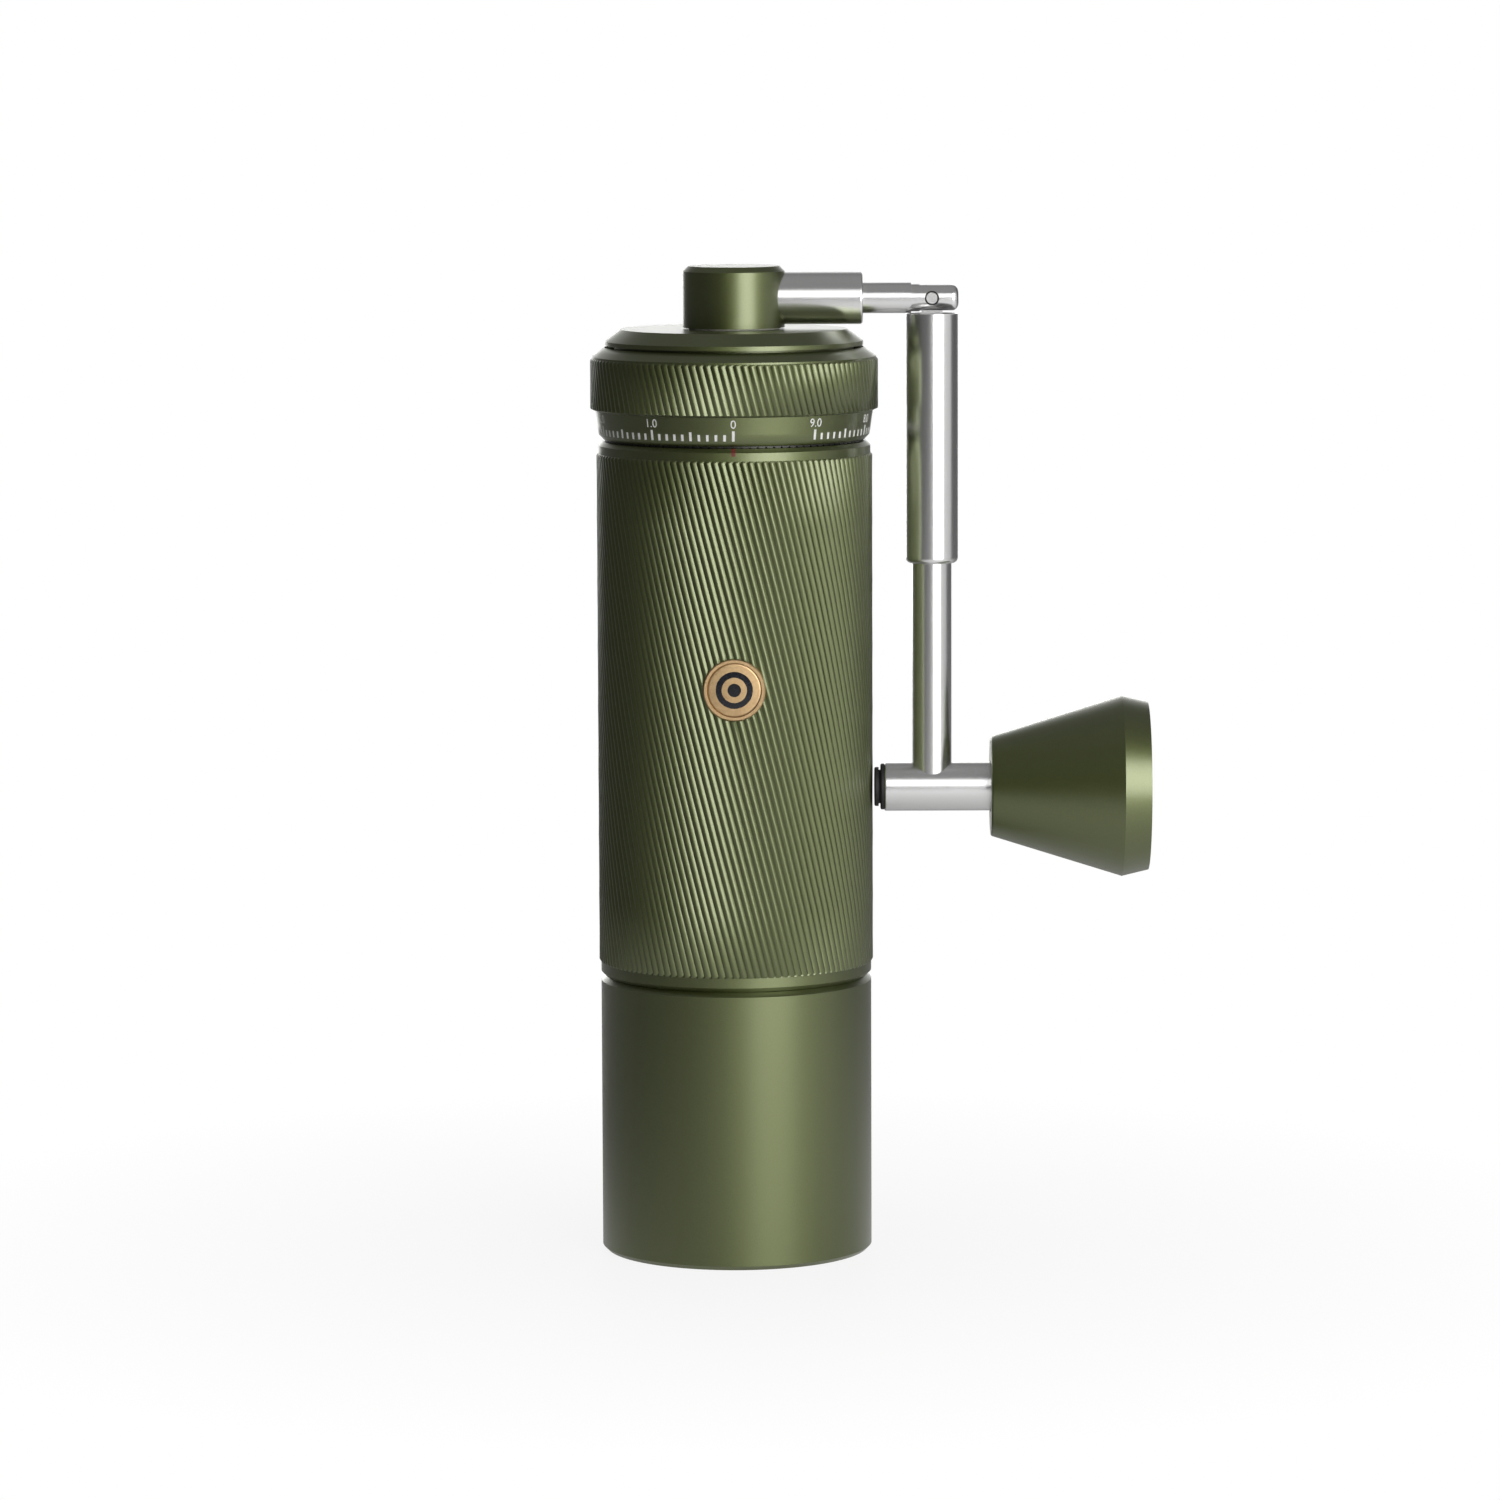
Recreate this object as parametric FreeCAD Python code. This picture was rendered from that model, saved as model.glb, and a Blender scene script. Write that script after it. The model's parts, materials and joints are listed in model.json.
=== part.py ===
import FreeCAD, Part
import math
import os

# Hand coffee grinder with a folding crank, modelled piece by piece as it comes apart on a bench.
# Millimetres. The main axis is Z, the cup stands on Z = 0, the front faces -Y and the crank points to +X.
# The dial stands at zero and the handle hangs folded beside the barrel.

V = FreeCAD.Vector
UP = V(0, 0, 1)
RIGHT = V(1, 0, 0)
FRONT = V(0, -1, 0)

# Clearances, all radial or one-sided
SEAT = 0.02  # pieces fixed to each other
RUN = 0.05  # a shaft that turns or slides in its hole
SLIDE = 0.15  # pieces pushed together by hand
FREE = 0.30  # pieces that only pass each other
PAST = 1.0  # how far a cutter runs beyond the face that it opens

# Catch cup
CUP_HEIGHT = 52.7
CUP_WALL = 1.8
CUP_FLOOR = 2.5
CUP_LIP_BEVEL = 1.0
CUP_FOOT_BEVEL = 0.8
CUP_CORNER_RADIUS = 4.0
SEAL_D = 1.0
SEAL_HEIGHT = 4.0  # above the end of the spigot

# Barrel
BARREL_CREST_D = 52.0
BARREL_HEIGHT = 101.3
BARREL_WALL = 3.65
BARREL_BEVEL = 0.75
BARREL_LOWER_BAND = 3.0
BARREL_UPPER_BAND = 2.7
FLUTES = 120
FLUTE_DEPTH = 0.35
FLUTE_CREST = 0.3  # flat top of a rib, as a share of the pitch
FLUTE_LEAN = 15.0
FLUTE_RUN_OUT = 0.4
FLUTE_TWIST_STEP = 8.0
FLUTE_LEDGE = 0.1  # end of a rib above the plain band beside it
SPIGOT_LENGTH = 8.0
STACK_LIP = 0.8  # shoulder that the burr stack is clamped against
NECK_WALL = 1.5
NECK_HEIGHT = 16.6
EDGE_BREAK = 0.4

# Badge
BADGE_D = 11.6
BADGE_THICKNESS = 1.3
BADGE_INSET = 0.1  # its face behind the flute crests
BADGE_HEIGHT = 56.6  # above the barrel's lower shoulder
BADGE_RIM = 0.7
BADGE_RELIEF = 0.2

# Burr stack
LOCK_RING_INSET = 0.6
LOCK_RING_HEIGHT = 3.0
LOCK_RING_NOTCHES = 4
LOCK_RING_NOTCH_WIDTH = 3.0
RING_BURR_HEIGHT = 21.5
RING_BURR_WALL = 3.1
BURR_GAP = 0.2
GRIND_HEIGHT = 5.0
GRIND_FLARE = 1.7  # growth in radius down the grinding zone
FINE_TEETH = 36
FINE_TOOTH_DEPTH = 0.9
FINE_TWIST = 12.0
RING_GROOVES = 10
RING_GROOVE_DEPTH = 1.5
RING_TWIST = 36.0
RING_THROAT_FLARE = 1.2
CONE_HEIGHT = 15.0
CONE_RIM = 1.2
CONE_FINS = 6
CONE_FIN_DEPTH = 3.2
CONE_TWIST = 72.0
CONE_TOP_WALL = 1.6
TWIST_STEP = 7.0

# Lower bridge
BRIDGE_HEIGHT = 5.0
BRIDGE_RIM = 2.4
ARMS = 3
ARM_WIDTH = 5.0

# Shaft and bearings
SHAFT_D = 8.0
BEARING_WIDTH = 5.0
RACE_WALL = 1.4
BALL_SPACE = 1.2
SHIELD = 0.4
BEARING_HOUSING_WALL = 2.2
BEARING_FLOOR = 1.2
HEX_FLATS = 6.8
HEX_LENGTH = 7.2
CLIP_THICKNESS = 0.9
CLIP_GROOVE = 0.5
CLIP_WIDTH = 2.0
COLLAR_WIDTH = 1.3
COLLAR_HEIGHT = 1.3
FLAT_DEPTH = 0.8
THREAD_D = 6.0
WASHER_D = 13.0
WASHER_THICKNESS = 0.8
NUT_FLATS = 10.0
NUT_HEIGHT = 4.0
THREAD_SHOW = 0.6
BURR_SPRING_WIRE = 0.9
BURR_SPRING_TURNS = 3
BURR_SPRING_GAP = 0.5  # least gap between its turns

# Dial
DIAL_GAP = 0.45
DIAL_HEIGHT = 17.15
DIAL_PROUD = 1.1  # its flute crests outside the barrel's
DIAL_FOOT_INSET = 1.3
DIAL_FOOT_BEVEL = 0.85
SCALE_LOWER_INSET = 0.5
SCALE_UPPER_PROUD = 0.15
SCALE_HEIGHT = 4.5
DIAL_GRIP_HEIGHT = 9.4
DIAL_TOP_BAND = 0.75
DIAL_MOUTH_EDGE = 0.1
THREAD_HEIGHT = 0.7
RETAINER_STEP = 1.0
RETAINER_THICKNESS = 1.0
RETAINER_GROOVE = 0.6
RETAINER_SPLIT = 4.0
RETAINER_DROP = 2.1  # its seat below the lower of the neck and the dial
DETENT_HEIGHT = 1.3
DETENT_WIDTH = 1.55
DETENT_NOTCHES = 100
DETENT_NOTCH_DEPTH = 0.3
PLUNGER_D = 1.5
PLUNGER_LENGTH = 5.0
CLICK_BALL_D = 1.0

# Carriage moved by the dial
ADJUST_TRAVEL = 1.35
CARRIAGE_ARM_HEIGHT = 5.0
SLOT_FLOOR = 2.5  # above the barrel's upper shoulder

# Lid
LID_GAP = 0.4
LID_EDGE = 0.8
LID_BEVEL_WIDTH = 3.0
LID_BEVEL_HEIGHT = 2.2
LID_TOP = 2.6
LID_PLUG_DEPTH = 3.8
LID_PLUG_WALL = 2.0
LID_BOSS_WALL = 2.8
BUSH_WALL = 1.35
BUSH_FLANGE = 1.0
BUSH_FLANGE_THICKNESS = 0.75
HUB_GAP = 0.3

# Crank
HUB_D = 19.2
HUB_HEIGHT = 11.5
HUB_BEVEL = 1.0
HUB_FLOOR = 0.5  # least wall of the hub around the arm
STEM_WALL = 1.2
SOCKET_WALL = 1.0
SOCKET_LENGTH = 8.3
ARM_HEIGHT = 5.4  # axis of the arm above the hub's underside
ARM_D = 9.8
ARM_DEPTH = 2.0  # inner end of the arm from the main axis
ARM_TUBE_BORE_DEPTH = 12.0
ARM_EDGE = 0.4
HANDLE_STANDOFF = 11.2  # hinge pin outside the barrel's crests
HINGE_ROD_D = 5.75
HINGE_ROD_SHOW = 9.1
KNUCKLE_D = 5.14
KNUCKLE_BACK = 3.9
KNUCKLE_FRONT = 5.0
KNUCKLE_ROUND = 1.2
PIN_D = 2.1
PIN_SHORT = 0.1
TONGUE = 2.0
TONGUE_HALF_WIDTH = 2.0

# Folding handle
HANDLE_DROP = 92.5  # hinge pin to the axis of the cross tube
ROD_D = 7.43
ROD_STEM_D = 4.8
ROD_STEM_TOP = 5.9  # below the hinge pin
ROD_SHOULDER = 38.7  # below the hinge pin
CROSS_D = 9.2
CROSS_INTO_KNOB = 1.7
CROSS_EDGE = 0.3
BUMPER_D = 7.4
BUMPER_TIP = 0.8
BUMPER_GROOVE_D = 6.4
BUMPER_GROOVE = 0.35
BUMPER_FLANGE_D = 8.7
BUMPER_FLANGE = 0.75
BUMPER_STEM_D = 4.0
BUMPER_STEM = 4.0
BUMPER_ROUND = 0.3

# Locking sleeve
SLEEVE_D = 9.85
SLEEVE_LENGTH = 47.0
SLEEVE_REACH = 2.95  # its mouth below the hinge pin
SLEEVE_EDGE = 0.32
SLEEVE_KNUCKLE_GAP = 0.38
SLEEVE_SHOULDER = 22.7  # below the hinge pin
SLEEVE_ROUND = 1.0
ROD_RUN = 0.08
SLEEVE_SPRING_WIRE = 0.7
SLEEVE_SPRING_TURNS = 6

# Knob
KNOB_START = 11.1  # small end outside the hinge pin
KNOB_SMALL_D = 18.8
KNOB_LARGE_D = 34.2
KNOB_TAPER_LENGTH = 24.8
KNOB_BEVEL_LENGTH = 5.0
KNOB_BEVEL_DEPTH = 1.2
KNOB_ROUND = 0.5
KNOB_CAVITY_D = 20.0
KNOB_CAVITY = 11.4
CAP_THICKNESS = 1.4
CAP_RIM = 1.4
AXLE_D = 5.8
AXLE_THREAD_D = 4.8
AXLE_THREAD = 8.0
AXLE_HEAD_D = 9.4
AXLE_HEAD = 2.5
AXLE_KEY_FLATS = 4.0
AXLE_KEY_DEPTH = 1.5
KNOB_BUSH_WALL = 1.4
KNOB_BUSH_LENGTH = 6.8
KNOB_BUSH_FLANGE = 0.8

# Radii and heights that follow
crest_r = BARREL_CREST_D / 2
band_r = crest_r - FLUTE_DEPTH
burr_bore_r = band_r - BARREL_WALL
hopper_r = burr_bore_r - STACK_LIP
neck_r = hopper_r + NECK_WALL
cup_bore_r = band_r - CUP_WALL
spigot_r = cup_bore_r - SLIDE
barrel_z = CUP_HEIGHT
spigot_z = barrel_z - SPIGOT_LENGTH
shoulder_z = barrel_z + BARREL_HEIGHT
neck_z = shoulder_z + NECK_HEIGHT
lock_ring_z = spigot_z + LOCK_RING_INSET
ring_burr_z = lock_ring_z + LOCK_RING_HEIGHT
grind_top_z = ring_burr_z + GRIND_HEIGHT
shaft_r = SHAFT_D / 2
cone_top_z = ring_burr_z + CONE_HEIGHT
collar_z = cone_top_z
spring_z = collar_z + COLLAR_HEIGHT
bearing_lift = COLLAR_HEIGHT / 2  # lower bearing above the bridge's underside
least_spring = BURR_SPRING_WIRE + BURR_SPRING_TURNS * (BURR_SPRING_WIRE + BURR_SPRING_GAP) + 2 * RUN
bridge_z = max(ring_burr_z + RING_BURR_HEIGHT, spring_z + least_spring - bearing_lift)
lip_z = bridge_z + BRIDGE_HEIGHT
cone_base_z = ring_burr_z - CONE_RIM
inner_race_r = shaft_r + RACE_WALL
track_r = inner_race_r + BALL_SPACE
bearing_r = track_r + RACE_WALL
housing_r = bearing_r + BEARING_HOUSING_WALL
lower_bearing_z = bridge_z + bearing_lift
dial_z = shoulder_z + DIAL_GAP
dial_top_z = dial_z + DIAL_HEIGHT
dial_crest_r = crest_r + DIAL_PROUD
dial_band_r = dial_crest_r - FLUTE_DEPTH
thread_r = neck_r + THREAD_HEIGHT
mouth_r = thread_r + RETAINER_STEP
retainer_z = min(neck_z, dial_top_z) - RETAINER_DROP
detent_r = neck_r + RUN + DETENT_WIDTH
slot_z = shoulder_z + SLOT_FLOOR
carriage_z = slot_z + ADJUST_TRAVEL + 2 * FREE
upper_bearing_z = carriage_z + BEARING_FLOOR
shaft_clip_z = upper_bearing_z + BEARING_WIDTH + RUN
hex_z = shaft_clip_z + CLIP_THICKNESS + 2 * FREE
hex_r = HEX_FLATS / math.sqrt(3)
lid_z = max(neck_z, dial_top_z) + LID_GAP
lid_top_z = lid_z + LID_EDGE + LID_BEVEL_HEIGHT
lid_r = mouth_r - DIAL_MOUTH_EDGE
hub_z = lid_top_z + HUB_GAP
socket_r = hex_r + SOCKET_WALL
stem_r = socket_r + STEM_WALL
bush_r = stem_r + BUSH_WALL
stem_z = hex_z + FREE
hub_clip_z = stem_z + EDGE_BREAK
bush_z = hub_clip_z + CLIP_THICKNESS + RUN
arm_z = hub_z + max(ARM_HEIGHT, ARM_D / 2 + HUB_FLOOR)
hub_top_z = max(hub_z + HUB_HEIGHT, arm_z + ARM_D / 2 + HUB_FLOOR)
pin_x = crest_r + HANDLE_STANDOFF
knuckle_x = pin_x - KNUCKLE_BACK
arm_end_x = knuckle_x - HINGE_ROD_SHOW
knuckle_r = KNUCKLE_D / 2
hinge_rod_r = HINGE_ROD_D / 2
rod_r = ROD_D / 2
cross_z = arm_z - HANDLE_DROP
cross_r = CROSS_D / 2
bumper_x = crest_r + FREE
cross_x = bumper_x + BUMPER_TIP + BUMPER_GROOVE + BUMPER_FLANGE
knob_x = pin_x + KNOB_START
cross_end_x = knob_x + CROSS_INTO_KNOB
knob_large_x = knob_x + KNOB_TAPER_LENGTH
knob_end_x = knob_large_x + KNOB_BEVEL_LENGTH
knob_bore_r = AXLE_D / 2 + RUN + KNOB_BUSH_WALL
cavity_x = knob_end_x - KNOB_CAVITY
sleeve_r = SLEEVE_D / 2
sleeve_top_z = arm_z - SLEEVE_REACH
sleeve_z = sleeve_top_z - SLEEVE_LENGTH
sleeve_bore_r = knuckle_r + SLEEVE_KNUCKLE_GAP
rod_shoulder_z = arm_z - ROD_SHOULDER


def outline(corners, place):
    """Closed face through (u, v) corners. A third value in a corner rounds it with that radius."""
    spans = []
    for i, corner in enumerate(corners):
        here = V(corner[0], corner[1], 0)
        radius = corner[2] if len(corner) > 2 else 0
        if radius == 0:
            spans.append((here, None, here))
            continue
        before = V(*corners[i - 1][:2], 0) - here
        after = V(*corners[(i + 1) % len(corners)][:2], 0) - here
        half = before.getAngle(after) / 2
        before.normalize()
        after.normalize()
        inward = before + after
        inward.normalize()
        trim = radius / math.tan(half)
        middle = here + inward * (radius / math.sin(half) - radius)
        spans.append((here + before * trim, middle, here + after * trim))
    edges = []
    for i, (start, middle, end) in enumerate(spans):
        if middle is not None:
            edges.append(Part.Arc(place(start), place(middle), place(end)).toShape())
        following = spans[(i + 1) % len(spans)][0]
        if end.distanceToPoint(following) > 1e-6:
            edges.append(Part.LineSegment(place(end), place(following)).toShape())
    return Part.Face(Part.Wire(edges))


def turned(corners):
    """Solid turned about the main axis from its (radius, height) outline."""
    return outline(corners, lambda p: V(p.x, 0, p.y)).revolve(V(0, 0, 0), UP, 360)


def turned_on_x(corners, height):
    """Solid turned about a level axis along X from its (x, radius) outline."""
    return outline(corners, lambda p: V(p.x, 0, height + p.y)).revolve(V(0, 0, height), RIGHT, 360)


def ring(inner_r, outer_r, bottom, top):
    """Plain ring about the main axis."""
    return turned([(inner_r, bottom), (outer_r, bottom), (outer_r, top), (inner_r, top)])


def box(x0, x1, y0, y1, z0, z1):
    """Box between two corners."""
    return Part.makeBox(x1 - x0, y1 - y0, z1 - z0, V(x0, y0, z0))


def around(shape, count, start=0.0):
    """Copies of a shape spread evenly about the main axis."""
    copies = []
    for i in range(count):
        copy = shape.copy()
        copy.rotate(V(0, 0, 0), UP, start + 360 * i / count)
        copies.append(copy)
    return copies


def hexagon(flats, bottom, top):
    """Upright hexagonal prism on the main axis."""
    radius = flats / math.sqrt(3)
    points = []
    for i in range(7):
        angle = math.pi * i / 3
        points.append(V(radius * math.cos(angle), radius * math.sin(angle), bottom))
    return Part.Face(Part.makePolygon(points)).extrude(UP * (top - bottom))


def toothed_corners(count, tooth, height, turn):
    """Corners of a ring of equal teeth. A tooth is a list of (share of the pitch, radius) corners."""
    pitch = 2 * math.pi / count
    points = []
    for i in range(count):
        for share, radius in tooth:
            angle = math.radians(turn) + pitch * (i + share)
            points.append(V(radius * math.cos(angle), radius * math.sin(angle), height))
    return points


def twisted_teeth(count, bottom_tooth, top_tooth, bottom, top, twist):
    """Ruled solid whose teeth wind by an angle between two heights."""
    steps = math.ceil(abs(twist) / TWIST_STEP)
    wires = []
    for i in range(steps + 1):
        t = i / steps
        tooth = [(a[0], a[1] + (b[1] - a[1]) * t) for a, b in zip(bottom_tooth, top_tooth)]
        corners = toothed_corners(count, tooth, bottom + (top - bottom) * t, twist * t)
        wires.append(Part.makePolygon(corners + corners[:1]))
    return Part.makeLoft(wires, True, True)


def flat(corners):
    """Flat face with straight edges."""
    return Part.Face(Part.makePolygon(corners + corners[:1]))


def fluted(crest, foot_r, foot_z, head_r, head_z):
    """Solid ring of leaning ribs with flat tops, in flat facets, ending just proud of the bands beside it."""
    bottom = foot_z + FLUTE_RUN_OUT
    top = head_z - FLUTE_RUN_OUT
    lean = -math.degrees(math.tan(math.radians(FLUTE_LEAN)) / crest)  # per millimetre of height
    steps = math.ceil(abs(lean) * (top - bottom) / FLUTE_TWIST_STEP)
    sections = [(foot_z, foot_r + FLUTE_LEDGE, foot_r + FLUTE_LEDGE)]
    for i in range(steps + 1):
        sections.append((bottom + (top - bottom) * i / steps, crest, crest - FLUTE_DEPTH))
    sections.append((head_z, head_r + FLUTE_LEDGE, head_r + FLUTE_LEDGE))
    rings = []
    for height, tip_r, root_r in sections:
        tooth = [(0, tip_r), (FLUTE_CREST, tip_r), ((1 + FLUTE_CREST) / 2, root_r)]
        rings.append(toothed_corners(FLUTES, tooth, height, lean * (height - bottom)))
    faces = [flat(rings[0]), flat(rings[-1])]
    for lower, upper in zip(rings, rings[1:]):
        for i in range(len(lower)):
            faces.append(flat([lower[i - 1], lower[i], upper[i]]))
            faces.append(flat([lower[i - 1], upper[i], upper[i - 1]]))
    shell = Part.makeShell(faces)
    shell.sewShape()
    return Part.makeSolid(shell)


def biarc(start, start_way, end, end_way):
    """Two arcs that leave one point and reach another along the given directions."""
    chord = end - start
    ways = start_way + end_way
    a = 2 * (start_way.dot(end_way) - 1)
    b = -2 * chord.dot(ways)
    c = chord.dot(chord)
    reach = (-b - math.sqrt(b * b - 4 * a * c)) / (2 * a)
    corner_1 = start + start_way * reach
    corner_2 = end - end_way * reach
    meeting = (corner_1 + corner_2) * 0.5
    arcs = []
    for first, corner, last in ((start, corner_1, meeting), (meeting, corner_2, end)):
        centre = (first + last) * 0.5
        half = centre.distanceToPoint(first)
        rise = corner - centre
        lean = math.atan2(rise.Length, half)
        rise.normalize()
        arcs.append(Part.Arc(first, centre + rise * (half * math.tan(lean / 2)), last).toShape())
    return arcs


def coil(name, mean_r, wire_d, bottom, top, turns, x=0.0):
    """Open compression spring about an upright axis, as one tube along quarter-turn biarcs."""
    low = bottom + wire_d / 2
    pitch = (top - bottom - wire_d) / turns

    def point(turn):
        angle = 2 * math.pi * turn
        return V(x + mean_r * math.cos(angle), mean_r * math.sin(angle), low + pitch * turn)

    def way(turn):
        angle = 2 * math.pi * turn
        tangent = V(-mean_r * math.sin(angle), mean_r * math.cos(angle), pitch / (2 * math.pi))
        tangent.normalize()
        return tangent

    edges = []
    for i in range(4 * turns):
        edges += biarc(point(i / 4), way(i / 4), point((i + 1) / 4), way((i + 1) / 4))
    section = Part.Wire([Part.Circle(point(0), way(0), wire_d / 2).toShape()])
    shell = Part.BRepOffsetAPI.MakePipeShell(Part.Wire(edges))
    shell.add(section)
    shell.build()
    shell.makeSolid()
    samples = [point(i / 36) for i in range(36 * turns + 1)]
    nearest = min(
        samples[i].distanceToPoint(samples[j])
        for i in range(len(samples))
        for j in range(i + 18, len(samples))
    )
    print(name, "least gap between its turns", round(nearest - wire_d, 2))
    return shell.shape()


def snap_ring(inner_r, outer_r, bottom, thickness, split):
    """Flat ring with a gap at the back."""
    gap = box(-split / 2, split / 2, inner_r / 2, outer_r + PAST, bottom - PAST, bottom + thickness + PAST)
    return ring(inner_r, outer_r, bottom, bottom + thickness).cut(gap)


# Cup
def make_catch_cup():
    return turned(
        [
            (0, 0),
            (band_r - CUP_FOOT_BEVEL, 0),
            (band_r, CUP_FOOT_BEVEL),
            (band_r, CUP_HEIGHT - CUP_LIP_BEVEL),
            (band_r - CUP_LIP_BEVEL, CUP_HEIGHT),
            (cup_bore_r, CUP_HEIGHT),
            (cup_bore_r, CUP_FLOOR, CUP_CORNER_RADIUS),
            (0, CUP_FLOOR),
        ]
    )


seal_groove_r = cup_bore_r - RUN - SEAL_D - SEAT
seal_z = spigot_z + SEAL_HEIGHT


def make_cup_seal_ring():
    return Part.makeTorus(seal_groove_r + SEAT + SEAL_D / 2, SEAL_D / 2, V(0, 0, seal_z), UP)


# Barrel and what is fixed in it
badge_z = barrel_z + BADGE_HEIGHT
badge_back_y = crest_r - BADGE_INSET - BADGE_THICKNESS
plunger_r = neck_r + RUN + DETENT_WIDTH / 2
flute_z = barrel_z + BARREL_LOWER_BAND
flute_top_z = shoulder_z - BARREL_UPPER_BAND


def make_barrel():
    seal_half = SEAL_D / 2 + 2 * SEAT + RUN
    groove_top_z = retainer_z + RETAINER_THICKNESS + 2 * RUN
    foot_z = flute_z - FLUTE_RUN_OUT
    head_z = flute_top_z + FLUTE_RUN_OUT
    lower = turned(
        [
            (0, spigot_z),
            (spigot_r - EDGE_BREAK, spigot_z),
            (spigot_r, spigot_z + EDGE_BREAK),
            (spigot_r, seal_z - seal_half),
            (seal_groove_r, seal_z - seal_half),
            (seal_groove_r, seal_z + seal_half),
            (spigot_r, seal_z + seal_half),
            (spigot_r, barrel_z),
            (band_r - BARREL_BEVEL, barrel_z),
            (band_r, barrel_z + BARREL_BEVEL),
            (band_r, foot_z),
            (0, foot_z),
        ]
    )
    upper = turned(
        [
            (0, head_z),
            (band_r, head_z),
            (band_r, shoulder_z - BARREL_BEVEL),
            (band_r - BARREL_BEVEL, shoulder_z),
            (neck_r, shoulder_z),
            (neck_r, retainer_z),
            (neck_r - RETAINER_GROOVE, retainer_z),
            (neck_r - RETAINER_GROOVE, groove_top_z),
            (neck_r, groove_top_z),
            (neck_r, neck_z),
            (0, neck_z),
        ]
    )
    bore = turned(
        [
            (0, spigot_z - PAST),
            (burr_bore_r, spigot_z - PAST),
            (burr_bore_r, lip_z),
            (hopper_r, lip_z),
            (hopper_r, neck_z + PAST),
            (0, neck_z + PAST),
        ]
    )
    slot_half = ARM_WIDTH / 2 + SLIDE
    slot = box(hopper_r / 2, crest_r, -slot_half, slot_half, slot_z, neck_z + PAST)
    pocket = Part.makeCylinder(BADGE_D / 2 + SEAT, crest_r, V(0, -badge_back_y + SEAT, badge_z), FRONT)
    hole_z = shoulder_z - PLUNGER_LENGTH
    hole = Part.makeCylinder(PLUNGER_D / 2 + SEAT, PLUNGER_LENGTH + PAST, V(0, plunger_r, hole_z))
    body = fluted(crest_r, band_r, foot_z, band_r, head_z).multiFuse([lower, upper])
    return body.cut([bore, pocket, hole] + around(slot, ARMS, 30))


def make_badge():
    rim_r = BADGE_D / 2
    face = badge_back_y + BADGE_THICKNESS
    disc = turned(
        [
            (0, badge_back_y),
            (rim_r, badge_back_y),
            (rim_r, face - BADGE_RELIEF),
            (rim_r - BADGE_RELIEF, face),
            (rim_r - BADGE_RIM, face),
            (rim_r - BADGE_RIM, face - BADGE_RELIEF),
            (0, face - BADGE_RELIEF),
        ]
    )
    disc.rotate(V(0, 0, 0), RIGHT, 90)
    disc.translate(V(0, 0, badge_z))
    return disc


def spider(rim, arm_reach_r, arm_height, bottom, housing_height):
    """Hub for a bearing with three arms."""
    hub = Part.makeCylinder(housing_r, housing_height, V(0, 0, bottom))
    arm = box(0, arm_reach_r, -ARM_WIDTH / 2, ARM_WIDTH / 2, bottom, bottom + arm_height)
    reach = Part.makeCylinder(arm_reach_r, arm_height, V(0, 0, bottom))
    arms = [piece.common(reach) for piece in around(arm, ARMS, 30)]
    return hub.multiFuse(arms + rim)


def make_lower_bridge():
    rim = ring(burr_bore_r - BRIDGE_RIM, burr_bore_r - SEAT, bridge_z, lip_z)
    housing_height = bearing_lift + BEARING_WIDTH + BEARING_FLOOR
    body = spider([rim], burr_bore_r - BRIDGE_RIM / 2, BRIDGE_HEIGHT, bridge_z, housing_height)
    seat_depth = bearing_lift + BEARING_WIDTH + SEAT
    seat = Part.makeCylinder(bearing_r + SEAT, seat_depth, V(0, 0, bridge_z))
    passage = Part.makeCylinder(inner_race_r + FREE, housing_height, V(0, 0, bridge_z))
    return body.cut([seat, passage])


def make_outer_race(bottom):
    top = bottom + BEARING_WIDTH
    shield_r = inner_race_r + FREE
    return turned(
        [
            (shield_r, bottom),
            (bearing_r, bottom),
            (bearing_r, top),
            (shield_r, top),
            (shield_r, top - SHIELD),
            (track_r, top - SHIELD),
            (track_r, bottom + SHIELD),
            (shield_r, bottom + SHIELD),
        ]
    )


def make_inner_race(bottom, clearance):
    return ring(shaft_r + clearance, inner_race_r, bottom, bottom + BEARING_WIDTH)


# Burrs
ring_tip_low_r = burr_bore_r - SEAT - RING_BURR_WALL
ring_tip_mid_r = ring_tip_low_r - GRIND_FLARE
ring_tip_top_r = ring_tip_mid_r + RING_THROAT_FLARE


def fine_tooth(tip_r, root_r):
    return [(0, tip_r), (0.25, root_r)]


def broad_tooth(tip_r, root_r):
    return [(0, tip_r), (0.2, tip_r), (0.32, root_r), (0.58, root_r), (0.85, root_r)]


def make_outer_burr():
    body = turned(
        [
            (ring_tip_mid_r / 2, ring_burr_z),
            (burr_bore_r - SEAT, ring_burr_z),
            (burr_bore_r - SEAT, bridge_z),
            (ring_tip_mid_r / 2, bridge_z),
        ]
    )
    grinding = twisted_teeth(
        FINE_TEETH,
        fine_tooth(ring_tip_low_r, ring_tip_low_r + FINE_TOOTH_DEPTH),
        fine_tooth(ring_tip_mid_r, ring_tip_mid_r + FINE_TOOTH_DEPTH),
        ring_burr_z,
        grind_top_z,
        -FINE_TWIST,
    )
    throat = twisted_teeth(
        RING_GROOVES,
        broad_tooth(ring_tip_mid_r + RING_GROOVE_DEPTH, ring_tip_mid_r),
        broad_tooth(ring_tip_top_r + RING_GROOVE_DEPTH, ring_tip_top_r),
        grind_top_z,
        bridge_z,
        -RING_TWIST,
    )
    return body.cut([grinding, throat])


cone_low_r = ring_tip_low_r - BURR_GAP
cone_mid_r = ring_tip_mid_r - BURR_GAP
cone_top_root_r = shaft_r + CONE_TOP_WALL


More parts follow.
